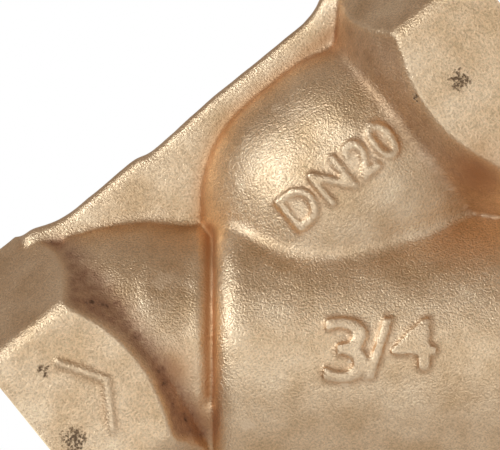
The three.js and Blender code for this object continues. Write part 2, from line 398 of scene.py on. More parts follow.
def plate(name, outline, half):
    """A flat plate in the XZ plane from (x, z) corners in mm."""
    put_down()
    bpy.ops.mesh.primitive_plane_add(size=MM, location=(0, 0, 0))
    obj = named(name)
    bpy.ops.object.mode_set(mode="EDIT")
    bpy.ops.mesh.select_all(action="SELECT")
    bpy.ops.mesh.merge(type="CENTER")
    bpy.ops.transform.translate(value=(outline[0][0] * MM, -half * MM, outline[0][1] * MM))
    for (x0, z0), (x1, z1) in zip(outline, outline[1:]):
        step = ((x1 - x0) * MM, 0, (z1 - z0) * MM)
        bpy.ops.mesh.extrude_vertices_move(TRANSFORM_OT_translate={"value": step})
    bpy.ops.mesh.select_all(action="SELECT")
    bpy.ops.mesh.edge_face_add()
    bpy.ops.mesh.extrude_region_move(
        TRANSFORM_OT_translate={"value": (0, 2 * half * MM, 0)}
    )
    bpy.ops.object.mode_set(mode="OBJECT")
    return mend(obj)


def web():
    """The thin web in the corner between nose and dome, with its rounded top edge."""
    outline = [
        (10.5, 17.7),
        (12.6, 17.7),
        (13.6, 17.2),
        (15.0, 16.7),
        (17.0, WEB_TOP),
        (26.2, WEB_TOP + 0.1),
        (27.3, WEB_TOP - 0.35),
        (28.6, WEB_TOP - 0.4),
        (36.0, WEB_TOP),
        (49.0, WEB_TOP),
        (51.0, 16.8),
        (52.6, 17.6),
        (55.5, 17.6),
        (55.5, 11.5),
        (40.0, 11.5),
        (26.0, 6.0),
        (13.0, 12.0),
        (10.5, 12.0),
    ]
    shape = plate("web", outline, WEB_HALF)
    return apply_modifier(shape, "BEVEL", width=1.1 * MM, segments=4, limit_method="ANGLE", angle_limit=1.0)


def lettering(text, width, height, depth):
    """Plain sans characters as a solid that fills width by height mm from the origin."""
    put_down()
    bpy.ops.object.text_add(location=(0, 0, 0))
    obj = named("mark")
    obj.data.body = text
    obj.data.size = 1.0
    obj.data.extrude = 1.0
    obj.data.offset = 0.010
    obj.data.space_character = 1.1
    bpy.ops.object.convert(target="MESH")
    mend(obj)
    points = np.array([v.co for v in obj.data.vertices])
    low, high = points.min(0), points.max(0)
    width, height, depth = (side * MM / span for side, span in zip((width, height, depth), high - low))
    place(obj, Matrix.Diagonal((width, height, depth, 1)) @ Matrix.Translation(-Vector(low)))
    return apply_modifier(obj, "REMESH", mode="VOXEL", voxel_size=0.12 * MM)


def size_marks():
    """The raised nominal sizes: DN20 along the run on the dome, 3/4 along the branch."""
    text, width, height, x, z = RUN_MARK
    run_mark = lettering(text, width, height, 17)
    place(run_mark, basis((1, 0, 0), (0, 0, 1), NEAR_SIDE, (x * MM, 0, z * MM)))
    combine(run_mark, dome(DOME_RADIUS + RUN_MARK_RELIEF), "INTERSECT")
    marks = [run_mark]
    for text, width, height, s, n in BRANCH_MARKS:
        glyph = lettering(text, width, height, 18)
        origin = SEAT + BRANCH * s * MM + ACROSS * n * MM
        place(glyph, basis(BRANCH, ACROSS, NEAR_SIDE, origin))
        skin = barrel("skin", CHAMBER_RADIUS + BRANCH_MARK_RELIEF, 2, 34, 128)
        combine(glyph, place(skin, BRANCH_FRAME), "INTERSECT")
        marks.append(glyph)
    return marks


def chevron(half_flats):
    """The raised flow arrow on the near flat of the inlet hexagon."""
    arms = []
    for side in (1, -1):
        put_down()
        bpy.ops.mesh.primitive_cube_add(size=1, location=(0, 0, 0))
        arm = named("arrow")
        bpy.ops.object.mode_set(mode="EDIT")
        bpy.ops.mesh.select_all(action="SELECT")
        bpy.ops.transform.resize(value=tuple(side_length * MM for side_length in ARROW_ARM))
        bpy.ops.transform.translate(value=(-2.6 * MM, 0, 0))
        bpy.ops.object.mode_set(mode="OBJECT")
        turn = Matrix.Rotation(side * math.radians(ARROW_SLANT), 4, "Y")
        tip = (ARROW_TIP * MM, -(half_flats - ARROW_SUNK) * MM, 0.2 * MM)
        place(arm, Matrix.Translation(tip) @ turn)
        arms.append(arm)
    return combine(arms[0], arms[1], "UNION")


def socket_hollow(name):
    """One pipe socket's threaded bore, its mouth at station 0."""
    start, end = 0.9, SOCKET_DEPTH - 0.8
    pairs = [(13.7, -1), (13.7, 0), (SOCKET_MINOR + 0.4, start - 0.1)]
    pairs += rows(SOCKET_MINOR, start, end, SOCKET_PITCH)
    pairs += [(13.3, end + 0.1), (13.3, SOCKET_DEPTH), (9, SOCKET_DEPTH)]
    bore = spun(name, poles(pairs), 96)
    return thread(bore, SOCKET_MINOR, SOCKET_THREAD, SOCKET_PITCH, start, end)


def hollows():
    """Everything the tools and the core leave empty inside the body, as one solid."""
    inlet = place(socket_hollow("inlet"), RUN_FRAME)
    bend = place(barrel("bend", 10.8, NOSE_START, -SEAT_HALF), BRANCH_FRAME)
    combine(bend, place(barrel("straight", 10.5, 10.5, 40), RUN_FRAME), "INTERSECT")
    combine(inlet, bend, "UNION")
    start, end = 33, BRANCH_END - 0.9
    pairs = [(8.8, -SEAT_HALF - 1), (8.8, SEAT_HALF), (11.3, SEAT_HALF), (11.3, 4.6), (13, 5.2)]
    pairs += [(13, 31), (14.1, 31.3), (14.1, start - 0.3)]
    pairs += rows(CAP_FEMALE_MINOR, start, end, CAP_PITCH)
    pairs += [(14.4, BRANCH_END), (14.4, BRANCH_END + 1)]
    bore = spun("bore", poles(pairs), 96)
    thread(bore, CAP_FEMALE_MINOR, CAP_THREAD, CAP_PITCH, start, end)
    combine(inlet, place(bore, BRANCH_FRAME), "UNION")
    passage = [*arc(11, (0, DOME_X), -90, 0, 16)[1:], (11, RUN_LENGTH - SOCKET_DEPTH + 1)]
    tunnel = place(spun("tunnel", poles(passage)), RUN_FRAME)
    combine(inlet, tunnel, "UNION")
    outlet = place(socket_hollow("outlet"), Matrix.Rotation(math.pi, 4, "X"))
    place(outlet, Matrix.Translation((0, 0, RUN_END)))
    return combine(inlet, place(outlet, RUN_FRAME), "UNION")


def flank(x, y, z):
    """How far points lie beyond a hexagon's flank and under its flats, x from its open end."""
    radius, turn = np.hypot(y, z), np.arctan2(z, -y)
    away = np.abs((turn + math.pi / 6) % (math.pi / 3) - math.pi / 6)
    flats = np.minimum(HEX_HALF / np.cos(away), HEX_CORNER)
    return x + radius - (HEX_HALF + HEX_END), flats - radius


def flank_level(x, y, z):
    """0 on a hexagon's flats, rising to 1 down its flank and beyond."""
    beyond, under = flank(x, y, z)
    level = np.maximum(beyond / 0.8, (under - 0.35) / 0.9)
    return np.where(beyond > -0.2, np.clip(level, 0, 1), 0)


def off_dome(x, y, z):
    """Distance from the dome's skin, mm."""
    return np.hypot(np.hypot(y, z), np.minimum(x - DOME_X, 0)) - DOME_RADIUS


def places(obj):
    """Vertex places in mm: x, y, z, then along the branch and square to it."""
    points = np.empty(len(obj.data.vertices) * 3, np.float32)
    obj.data.vertices.foreach_get("co", points)
    x, y, z = points.reshape(-1, 3).T / MM
    off_x, off_z = x - SEAT.x / MM, z - SEAT.z / MM
    return x, y, z, off_x * BRANCH.x + off_z * BRANCH.z, off_x * ACROSS.x + off_z * ACROSS.z


def soften(obj, passes):
    """Draws the creases round the hexagons into fillets and takes the edge off everything else."""
    x, y, z, s, n = places(obj)
    inlet, outlet = flank_level(x, y, z), flank_level(RUN_LENGTH - x, y, z)
    reach = np.clip(np.minimum((19.5 - x) / 3, 1), 0, 1) * inlet
    reach = np.maximum(reach, np.clip(np.minimum((x - 47.5) / 3, 1), 0, 1) * outlet)
    level = np.maximum(reach, 0.22 * np.minimum(inlet, outlet))
    level[(np.abs(s) < 1.7) & (x > 12.5)] = 0.35
    level[(np.abs(y) < 6) & (z > 6) & (s < -2.2) & (x > 14)] = 0.9
    level[(np.abs(y) < 6.5) & (z > 5) & (s > -1) & (np.abs(off_dome(x, y, z)) < 2.2)] = 0.9
    web_corner = (np.abs(y) < 5.5) & (z > 14.5) & (x > 10.8) & (x < RUN_LENGTH - 10.8)
    level[web_corner] = np.maximum(level[web_corner], 0.7)
    marks = (y < -10) & (s > 11) & (s < 25) & (n > -4) & (n < 5)
    marks |= (y < -10) & (x > 33.6) & (x < 49.5) & (z > -1.9) & (z < 4.7)
    level[marks] = 0.04
    level[s > 35.5] = 0
    weigh(obj, "soft", level)
    apply_modifier(obj, "SMOOTH", factor=0.5, iterations=passes, vertex_group="soft")
    obj.vertex_groups.clear()
    return apply_modifier(obj, "SMOOTH", factor=0.5, iterations=1)


def weigh(obj, name, level):
    group = obj.vertex_groups.new(name=name)
    for step in range(1, 26):
        chosen = np.flatnonzero(np.round(level * 25) == step)
        group.add(chosen.tolist(), step / 25, "REPLACE")


def hammer(obj, depth):
    """The uneven skin of a forging, kept off the turned ends."""
    x, _, _, s, _ = places(obj)
    level = np.clip(np.minimum(x, RUN_LENGTH - x) - 0.6, 0, 1) * np.clip(36 - s, 0, 1)
    weigh(obj, "rough", level)
    lumps = bpy.data.textures.new("lumps", "CLOUDS")
    lumps.noise_scale = 2.4 * MM
    lumps.noise_depth = 2
    apply_modifier(obj, "DISPLACE", texture=lumps, strength=depth, mid_level=0.5, vertex_group="rough")
    obj.vertex_groups.clear()
    return obj


def near_spots(x, y, z, spots):
    """1 in the middle of every spot, fading out over its reach."""
    level = np.zeros(len(x))
    for spot_x, spot_y, spot_z, reach in spots:
        away = (x - spot_x) ** 2 + (y - spot_y) ** 2 + (z - spot_z) ** 2
        level = np.maximum(level, np.exp(-away / reach**2))
    return level


def soil(obj):
    """Marks settled dirt, painted shade in the groove, the web corner and the valleys, and pitted skin, for
    the bronze to read.
    """
    x, y, z, s, n = places(obj)
    settled = np.zeros(len(x))
    for along, amount in ((x, 1.0), (RUN_LENGTH - x, 0.5)):
        beyond, under = flank(along, y, z)
        inside = np.clip((beyond + 0.35) / 0.3, 0, 1) * np.clip((1.9 - beyond) / 1.6, 0, 1)
        settled = np.maximum(settled, amount * inside * np.clip((under - 0.2) / 0.8, 0, 1) * (along < 19))
    # Painted shade: an orange-brown darkening along the groove between nose and chamber, and along the
    # corner where the dome meets the web.
    groove = np.exp(-((s / 0.55) ** 2)) * (x > 12.5) * np.clip((n - GROOVE_FOOT) / 1.5, 0, 1)
    groove *= np.clip((14.3 - n) / 0.8, 0, 1)
    beside_web = np.clip((5.4 - np.abs(y)) / 1.5, 0, 1) * (z > 5)
    corner = np.exp(-((off_dome(x, y, z) / 0.9) ** 2)) * beside_web
    shade_painted = np.maximum(np.maximum(groove, 0.6 * corner), near_spots(x, y, z, PAINTED_SHADE_SPOTS))
    pitted = near_spots(x, y, z, PITTED_SPOTS)
    for name, values in (("settled_dirt", settled), ("painted_hollow_shade", shade_painted), ("pitting", pitted)):
        layer = obj.data.attributes.new(name, "FLOAT", "POINT")
        layer.data.foreach_set("value", values.astype(np.float32))
    return obj


def paint_machined(obj):
    """The end faces are turned like the bores; everything else keeps the forged skin."""
    for face in obj.data.polygons:
        x = face.center.x / MM
        s = (face.center - SEAT).dot(BRANCH) / MM
        if x < 0.05 or x > RUN_LENGTH - 0.05 or s > BRANCH_END - 0.05:
            face.material_index = 1
    return obj


def soft_core(sizes):
    """Chamber and dome drawn together with a wide fillet, then joined to nose, neck and web."""
    shape = combine(chamber(), dome(DOME_RADIUS), "UNION")
    shape.name = "body_forging"
    apply_modifier(shape, "REMESH", mode="VOXEL", voxel_size=sizes.core_voxel)
    apply_modifier(shape, "SMOOTH", factor=0.5, iterations=sizes.core_passes)
    for part in (nose(), neck(), groove_end(), web()):
        combine(shape, part, "UNION")
    return shape


def forged_body(sizes, forged, machined):
    half = sizes.hex_flats / MM / 2
    shape = soft_core(sizes)
    combine(shape, collar(), "UNION")
    combine(shape, hexagon_end("inlet_hexagon", half, False), "UNION")
    combine(shape, hexagon_end("outlet_hexagon", half, True), "UNION")
    for mark in size_marks():
        combine(shape, mark, "UNION")
    combine(shape, chevron(half), "UNION")
    apply_modifier(shape, "REMESH", mode="VOXEL", voxel_size=sizes.voxel)
    soften(shape, sizes.fillet_passes)
    hammer(shape, sizes.hammered)
    apply_modifier(shape, "DECIMATE", ratio=sizes.keep_faces)
    painted(shape, forged)
    tool = painted(hollows(), machined)
    combine(shape, tool, "DIFFERENCE")
    paint_machined(shape)
    soil(shape)
    return smooth(shape, 40)


# ---------------------------------------------------------------- cap, plug, gaskets, screen


def hexagon_head(name, across_flats, start, end):
    """A hexagon head with its outer corners turned off at 30 degrees."""
    corner = across_flats / math.sqrt(3)
    drop = (corner - across_flats / 2 + 0.6) * math.tan(math.pi / 6)
    head = hexagon(name, across_flats, start, end)
    pairs = [(corner - 0.5, start), (corner, start + 0.3)]
    pairs += [(corner, end - drop), (across_flats / 2 - 0.6, end)]
    combine(head, spun("envelope", poles(pairs), 144), "INTERSECT")
    return apply_modifier(
        head, "BEVEL", width=0.22 * MM, segments=2, limit_method="ANGLE", angle_limit=math.radians(25)
    )


def cap_piece():
    start, end = 34.4, 43.4
    pairs = [(12.2, 34.0), (12.7, 34.2)]
    pairs += rows(CAP_MALE_MINOR, start, end, CAP_PITCH)
    pairs += [(12.9, 43.6), (12.9, 44.45), (13.1, 44.6), (15.6, 44.6), (15.9, 44.9)]
    pairs += [(15.9, 46.5), (15.5, 47.0)]
    shape = spun("cap_turned", poles(pairs), 96)
    thread(shape, CAP_MALE_MINOR, CAP_THREAD, CAP_PITCH, start, end)
    combine(shape, hexagon_head("cap_head", 27, 46.8, 54.5), "UNION")
    start, end = 46.4, 53.6
    pairs = [(11.6, 33), (11.6, 34.2), (11.3, 34.6), (11.3, 45.5), (4.9, 45.5)]
    pairs += rows(PLUG_FEMALE_MINOR, start, end, PLUG_PITCH)
    pairs += [(5.1, 54.5), (5.1, 56)]
    hollow = spun("cup", poles(pairs), 96)
    thread(hollow, PLUG_FEMALE_MINOR, PLUG_THREAD, PLUG_PITCH, start, end)
    combine(shape, hollow, "DIFFERENCE")
    return smooth(place(shape, BRANCH_FRAME))


def plug_piece():
    start, end = 48.9, 54.2
    pairs = [(3.6, 48.5), (3.9, 48.7)]
    pairs += rows(PLUG_MALE_MINOR, start, end, PLUG_PITCH)
    pairs += [(4.1, 54.4), (4.1, 55.7), (4.3, 55.9), (7.4, 55.9), (7.6, 56.1), (7.6, 56.9), (7.35, 57.1)]
    shape = spun("plug_turned", poles(pairs), 96)
    thread(shape, PLUG_MALE_MINOR, PLUG_THREAD, PLUG_PITCH, start, end)
    combine(shape, hexagon_head("plug_head", 13, 56.9, 61.6), "UNION")
    hollow = spun("plug_hollow", poles([(2.3, 47), (2.3, 55), (0.3, 56)]), 48)
    combine(shape, hollow, "DIFFERENCE")
    return smooth(place(shape, BRANCH_FRAME))


def gasket(name, outer, inner, start, end):
    """A flat ring with pressed, slightly bulging edges."""
    middle = (start + end) / 2
    pairs = [
        (inner + 0.12, start),
        (outer - 0.15, start),
        (outer - 0.04, start + 0.15),
        (outer, middle),
        (outer - 0.04, end - 0.15),
        (outer - 0.15, end),
        (inner + 0.12, end),
        (inner, end - 0.2),
        (inner, start + 0.2),
        (inner + 0.12, start),
    ]
    return smooth(place(spun(name, pairs, 96), BRANCH_FRAME))


def end_ring(name, start, floor_first):
    """A pressed channel ring that takes one end of tube and mesh."""
    pairs = [(8.5, 0.2), (8.7, 0), (10.75, 0), (11.0, 0.25), (11.0, 2.5), (10.9, 2.6), (10.6, 2.6)]
    pairs += [(10.5, 2.5), (10.5, 0.6), (9.0, 0.6), (9.0, 2.5)]
    pairs += [(8.9, 2.6), (8.6, 2.6), (8.5, 2.5), (8.5, 0.2)]
    if not floor_first:
        pairs = [(r, 2.6 - h) for r, h in pairs]
    ring = spun(name, [(r, start + h) for r, h in pairs], 96)
    return smooth(place(ring, BRANCH_FRAME))


def wrap(obj, radius):
    """Rolls a flat sheet, x round the tube and y along it, z its thickness, into a tube."""
    for vertex in obj.data.vertices:
        x, y, z = vertex.co
        turn = x / radius
        vertex.co = ((radius + z) * math.cos(turn), (radius + z) * math.sin(turn), y)
    return obj


def hole_cell(width, height, hole):
    """A flat rectangle with one round hole, centred on the origin."""
    put_down()
    bpy.ops.mesh.primitive_circle_add(
        vertices=16, radius=hole, location=(0, 0, 0), rotation=(0, 0, math.pi / 16)
    )
    cell = named("support_tube")
    bpy.ops.object.transform_apply(location=True, rotation=True, scale=True)
    bpy.ops.object.mode_set(mode="EDIT")
    bpy.ops.mesh.select_all(action="SELECT")
    bpy.ops.mesh.extrude_edges_move(TRANSFORM_OT_translate={"value": (0, 0, 0)})
    bpy.ops.object.mode_set(mode="OBJECT")
    for vertex in cell.data.vertices:
        if not vertex.select:
            continue
        x, y = vertex.co.x, vertex.co.y
        sideways = abs(x) > abs(y)
        share = round(math.degrees(math.atan2(min(abs(x), abs(y)), max(abs(x), abs(y)))) / 11.25)
        inset = {1: 1 / 3, 3: 1}[share]
        vertex.co.x = math.copysign(width / 2 * (1 if sideways else inset), x)
        vertex.co.y = math.copysign(height / 2 * (inset if sideways else 1), y)
    return cell


def repeated(obj, count, step):
    apply_modifier(
        obj,
        "ARRAY",
        count=count,
        use_relative_offset=False,
        use_constant_offset=True,
        constant_offset_displace=step,
        use_merge_vertices=True,
        merge_threshold=1e-5,
    )
    return obj


def support_tube():
    """Perforated sheet, rolled into the tube that carries the mesh."""
    radius, thickness = 10.05 * MM, 0.5 * MM
    first, last, columns, ranks = 2.4 * MM, 44.4 * MM, 24, 17
    width = FULL_TURN * radius / columns
    height = (last - first) / ranks
    cell = hole_cell(width, height, 0.33 * width)
    tube = repeated(repeated(cell, columns, (width, 0, 0)), ranks, (0, height, 0))
    place(tube, Matrix.Translation((0, first + height / 2, 0)))
    wrap(tube, radius)
    mend(tube)
    apply_modifier(tube, "SOLIDIFY", thickness=thickness, offset=0)
    return smooth(place(tube, BRANCH_FRAME), 50)


def weave_wire(pitch, radius, swing, first_up):
    """One wire over two pitches along X, three-sided, swinging over and under its neighbours."""
    put_down()
    bpy.ops.mesh.primitive_circle_add(
        vertices=3, radius=radius, location=(-pitch, 0, 0), rotation=(0, math.pi / 2, 0)
    )
    wire = named("wire")
    bpy.ops.object.transform_apply(location=True, rotation=True, scale=True)
    heights = [first_up * swing * math.cos(math.pi * i / 3) for i in range(7)]
    place(wire, Matrix.Translation((0, 0, heights[0])))
    bpy.ops.object.mode_set(mode="EDIT")
    bpy.ops.mesh.select_all(action="SELECT")
    for low, high in zip(heights, heights[1:]):
        bpy.ops.mesh.extrude_edges_move(
            TRANSFORM_OT_translate={"value": (pitch / 3, 0, high - low)}
        )
    bpy.ops.object.mode_set(mode="OBJECT")
    return wire


def joined(objects):
    take_up(objects[0])
    for obj in objects:
        obj.select_set(True)
    bpy.ops.object.join()
    return objects[0]


def mesh_sleeve():
    """Plain-woven wire cloth rolled into a sleeve that lines the support tube."""
    radius, first, last = 9.35 * MM, 2.4 * MM, 44.4 * MM
    across, along = 32, 23
    pitch = FULL_TURN * radius / across / 2
    rise = (last - first) / along / 2
    wires = []
    for side in (1, -1):
        warp = weave_wire(pitch, 0.085 * MM, 0.062 * MM, side)
        place(warp, Matrix.Translation((0, side * rise / 2, 0)))
        weft = weave_wire(rise, 0.085 * MM, 0.062 * MM, side)
        place(weft, Matrix.Translation((side * pitch / 2, 0, 0)) @ Matrix.Rotation(math.pi / 2, 4, "Z"))
        shift = Matrix.Translation((pitch / 2, 0, 0))
        place(warp, shift)
        place(weft, Matrix.Translation((0, rise / 2, 0)))
        wires += [warp, weft]
    cell = joined(wires)
    sleeve = repeated(repeated(cell, across, (2 * pitch, 0, 0)), along, (0, 2 * rise, 0))
    sleeve.name = sleeve.data.name = "mesh_sleeve"
    place(sleeve, Matrix.Translation((0, first + rise, 0)))
    wrap(sleeve, radius)
    close_ends(mend(sleeve), 3)
    return smooth(place(sleeve, BRANCH_FRAME), 60)


# ---------------------------------------------------------------- materials


def socket(group, name, kind, way="INPUT", value=None):
    made = group.interface.new_socket(name=name, in_out=way, socket_type=kind)
    if value is not None:
        made.default_value = value
    return made


def node(tree, kind, place_at=(0, 0), **settings):
    made = tree.nodes.new(kind)
    made.location = place_at
    for key, value in settings.items():
        setattr(made, key, value)
    return made


def grain_group():
    """Shot-blasted grain: a fine height for bump and a mottle that varies colour."""
    if "shot_grain" in bpy.data.node_groups:
        return bpy.data.node_groups["shot_grain"]
    group = bpy.data.node_groups.new("shot_grain", "ShaderNodeTree")
    socket(group, "Vector", "NodeSocketVector")
    socket(group, "Fine Scale", "NodeSocketFloat", value=4600.0)
    socket(group, "Coarse Scale", "NodeSocketFloat", value=1700.0)
    socket(group, "Height", "NodeSocketFloat", "OUTPUT")
    socket(group, "Mottle", "NodeSocketFloat", "OUTPUT")
    socket(group, "Speck", "NodeSocketFloat", "OUTPUT")
    inside = node(group, "NodeGroupInput", (-800, 0))
    outside = node(group, "NodeGroupOutput", (500, 0))
    fine = node(group, "ShaderNodeTexNoise", (-500, 200))
    fine.inputs["Detail"].default_value = 2.0
    fine.inputs["Roughness"].default_value = 0.6
    coarse = node(group, "ShaderNodeTexNoise", (-500, -50))
    coarse.inputs["Detail"].default_value = 3.0
    broad = node(group, "ShaderNodeTexNoise", (-500, -300))
    broad.inputs["Scale"].default_value = 210.0
    broad.inputs["Detail"].default_value = 5.0
    mix = node(group, "ShaderNodeMath", (0, 100), operation="MULTIPLY_ADD")
    mix.inputs[1].default_value = 0.4
    link = group.links.new
    for noise in (fine, coarse, broad):
        link(inside.outputs["Vector"], noise.inputs["Vector"])
    link(inside.outputs["Fine Scale"], fine.inputs["Scale"])
    link(inside.outputs["Coarse Scale"], coarse.inputs["Scale"])
    link(coarse.outputs["Fac"], mix.inputs[0])
    link(fine.outputs["Fac"], mix.inputs[2])
    link(mix.outputs[0], outside.inputs["Height"])
    link(broad.outputs["Fac"], outside.inputs["Mottle"])
    link(fine.outputs["Fac"], outside.inputs["Speck"])
    return group


def relief_group():
    """Edge and hollow masks from the surface's curvature, used for painted highlights and painted shade."""
    if "edge_and_hollow" in bpy.data.node_groups:
        return bpy.data.node_groups["edge_and_hollow"]
    group = bpy.data.node_groups.new("edge_and_hollow", "ShaderNodeTree")
    socket(group, "Spread", "NodeSocketFloat", value=0.05)
    socket(group, "Edge", "NodeSocketFloat", "OUTPUT")
    socket(group, "Hollow", "NodeSocketFloat", "OUTPUT")
    inside = node(group, "NodeGroupInput", (-800, 0))
    outside = node(group, "NodeGroupOutput", (500, 0))
    geometry = node(group, "ShaderNodeNewGeometry", (-800, -200))
    offset = node(group, "ShaderNodeMath", (-500, 0), operation="SUBTRACT")
    offset.inputs[1].default_value = 0.5
    share = node(group, "ShaderNodeMath", (-300, 0), operation="DIVIDE")
    edge = node(group, "ShaderNodeClamp", (0, 100))
    flip = node(group, "ShaderNodeMath", (-150, -150), operation="MULTIPLY")
    flip.inputs[1].default_value = -1.0
    hollow = node(group, "ShaderNodeClamp", (0, -150))
    link = group.links.new
    link(geometry.outputs["Pointiness"], offset.inputs[0])
    link(offset.outputs[0], share.inputs[0])
    link(inside.outputs["Spread"], share.inputs[1])
    link(share.outputs[0], edge.inputs["Value"])
    link(share.outputs[0], flip.inputs[0])
    link(flip.outputs[0], hollow.inputs["Value"])
    link(edge.outputs[0], outside.inputs["Edge"])
    link(hollow.outputs[0], outside.inputs["Hollow"])
    return group


def new_material(name):
    material = bpy.data.materials.new(name)
    material.use_nodes = True
    tree = material.node_tree
    tree.nodes.clear()
    output = node(tree, "ShaderNodeOutputMaterial", (900, 0))
    shader = node(tree, "ShaderNodeBsdfPrincipled", (600, 0))
    tree.links.new(shader.outputs[0], output.inputs["Surface"])
    coordinates = node(tree, "ShaderNodeTexCoord", (-1200, 0))
    return material, tree, shader, coordinates


def ramp(tree, source, stops, place_at=(0, 0)):
    made = node(tree, "ShaderNodeValToRGB", place_at)
    elements = made.color_ramp.elements
    while len(elements) < len(stops):
        elements.new(0.5)
    for element, (position, colour) in zip(elements, stops):
        element.position = position
        element.color = (*colour, 1.0)
    tree.links.new(source, made.inputs["Fac"])
    return made.outputs["Color"]


def blend_colour(tree, share, first, second, kind="MIX", place_at=(0, 0)):
    made = node(tree, "ShaderNodeMix", place_at, data_type="RGBA", blend_type=kind)
    for value, slot in ((share, "Factor_Float"), (first, "A_Color"), (second, "B_Color")):
        target = next(i for i in made.inputs if i.identifier == slot)
        if isinstance(value, bpy.types.NodeSocket):
            tree.links.new(value, target)
        elif slot == "Factor_Float":
            target.default_value = value
        else:
            target.default_value = (*value, 1.0)
    return next(o for o in made.outputs if o.identifier == "Result_Color")


def math_node(tree, operation, first, second, place_at=(0, 0)):
    made = node(tree, "ShaderNodeMath", place_at, operation=operation)
    for value, target in zip((first, second), made.inputs):
        if isinstance(value, bpy.types.NodeSocket):
            tree.links.new(value, target)
        else:
            target.default_value = value
    return made.outputs[0]


def add_bump(tree, height, shader, strength, depth):
    bump = node(tree, "ShaderNodeBump", (300, -300))
    bump.inputs["Strength"].default_value = strength
    bump.inputs["Distance"].default_value = depth * MM
    tree.links.new(height, bump.inputs["Height"])
    tree.links.new(bump.outputs[0], shader.inputs["Normal"])


def forged_bronze(finish):
    """Shot-blasted bronze: bright grain, painted highlights on edges, painted shade in hollows, settled
    dirt and pits.
    """
    material, tree, shader, coordinates = new_material("forged_bronze")
    grain = node(tree, "ShaderNodeGroup", (-900, 0), node_tree=grain_group())
    relief = node(tree, "ShaderNodeGroup", (-900, -300), node_tree=relief_group())
    tree.links.new(coordinates.outputs["Object"], grain.inputs["Vector"])
    base = tuple(finish.bronze_colour)
    dark = tuple(c * f for c, f in zip(base, (0.88, 0.84, 0.78)))
    light = tuple(min(1, c * f) for c, f in zip(base, (1.14, 1.20, 1.28)))
    mottled = ramp(tree, grain.outputs["Mottle"], [(0.35, dark), (0.5, base), (0.7, light)], (-600, 100))
    tones = [(0.32, (0.78,) * 3), (0.5, (1,) * 3), (0.7, (1.2,) * 3)]
    specks = ramp(tree, grain.outputs["Speck"], tones, (-600, -100))
    grained = blend_colour(tree, 1.0, mottled, specks, "MULTIPLY", (-300, 0))
    # Painted highlight: a lighter bronze mixed in along convex edges, found from the curvature.
    edge_highlighted = blend_colour(tree, relief.outputs["Edge"], grained, light, "MIX", (-100, 0))
    # Painted shade: an orange-brown darker bronze mixed into hollows found from the curvature and into the
    # groove, web corner and valley patches marked on the mesh.
    painted_hollow_shade = tuple(c * f for c, f in zip(base, (0.72, 0.50, 0.34)))
    hollow = math_node(tree, "MULTIPLY", relief.outputs["Hollow"], 0.45)
    hollow_shade_attribute = node(tree, "ShaderNodeAttribute", (-1200, -350), attribute_name="painted_hollow_shade")
    hollow = math_node(tree, "MAXIMUM", hollow, hollow_shade_attribute.outputs["Fac"])
    shade_painted = blend_colour(tree, hollow, edge_highlighted, painted_hollow_shade, "MIX", (100, 0))

    settled = node(tree, "ShaderNodeAttribute", (-1200, -500), attribute_name="settled_dirt")
    patchy = node(tree, "ShaderNodeTexNoise", (-900, -600))
    patchy.inputs["Scale"].default_value = 900.0
    patchy.inputs["Detail"].default_value = 6.0
    patchy.inputs["Roughness"].default_value = 0.7
    tree.links.new(coordinates.outputs["Object"], patchy.inputs["Vector"])
    stops = [(0.38, (0.55,) * 3), (0.60, (1,) * 3)]
    patches = ramp(tree, patchy.outputs["Fac"], stops, (-600, -500))
    dusty = math_node(tree, "MULTIPLY", settled.outputs["Fac"], patches)
    share = math_node(tree, "MULTIPLY", dusty, 0.9)
    dulled = blend_colour(tree, share, shade_painted, tuple(finish.dirt_colour), "MIX")
    crumbs = ramp(tree, patchy.outputs["Fac"], [(0.60, (0,) * 3), (0.68, (0.8,) * 3)], (-600, -700))
    crumbs = math_node(tree, "MULTIPLY", math_node(tree, "POWER", settled.outputs["Fac"], 2.5), crumbs)

    pitting = node(tree, "ShaderNodeAttribute", (-1200, -900), attribute_name="pitting")
    holes = node(tree, "ShaderNodeTexNoise", (-900, -900))
    holes.inputs["Scale"].default_value = 3400.0
    holes.inputs["Detail"].default_value = 3.0
    tree.links.new(coordinates.outputs["Object"], holes.inputs["Vector"])
    depth = math_node(tree, "MULTIPLY", pitting.outputs["Fac"], holes.outputs["Fac"])
    pits = ramp(tree, depth, [(0.42, (0,) * 3), (0.56, (0.8,) * 3)], (-600, -900))
    black = math_node(tree, "MAXIMUM", crumbs, pits)
    marked = blend_colour(tree, black, dulled, (0.10, 0.055, 0.03), "MIX")
    tree.links.new(marked, shader.inputs["Base Color"])

    shader.inputs["Metallic"].default_value = 1.0
    roughened = math_node(tree, "MAXIMUM", math_node(tree, "MAXIMUM", dusty, hollow), black)
    rough = math_node(tree, "MULTIPLY_ADD", roughened, 0.3)
    rough.node.inputs[2].default_value = finish.bronze_roughness
    tree.links.new(rough, shader.inputs["Roughness"])
    height = math_node(tree, "SUBTRACT", grain.outputs["Height"], math_node(tree, "MULTIPLY", black, 1.2))
    add_bump(tree, height, shader, finish.grain_strength, 0.10)
    return material


def turned_metal(name, colour, roughness):
    """Machined metal with a fine even grain."""
    material, tree, shader, coordinates = new_material(name)
    grain = node(tree, "ShaderNodeGroup", (-900, 0), node_tree=grain_group())
    grain.inputs["Fine Scale"].default_value = 3000.0
    tree.links.new(coordinates.outputs["Object"], grain.inputs["Vector"])
    dark = tuple(c * 0.85 for c in colour)
    light = tuple(min(1, c * 1.08) for c in colour)
    toned = ramp(tree, grain.outputs["Mottle"], [(0.35, dark), (0.65, light)], (-600, 0))
    tree.links.new(toned, shader.inputs["Base Color"])
    shader.inputs["Metallic"].default_value = 1.0
    shader.inputs["Roughness"].default_value = roughness
    add_bump(tree, grain.outputs["Height"], shader, 0.15, 0.02)
    return material


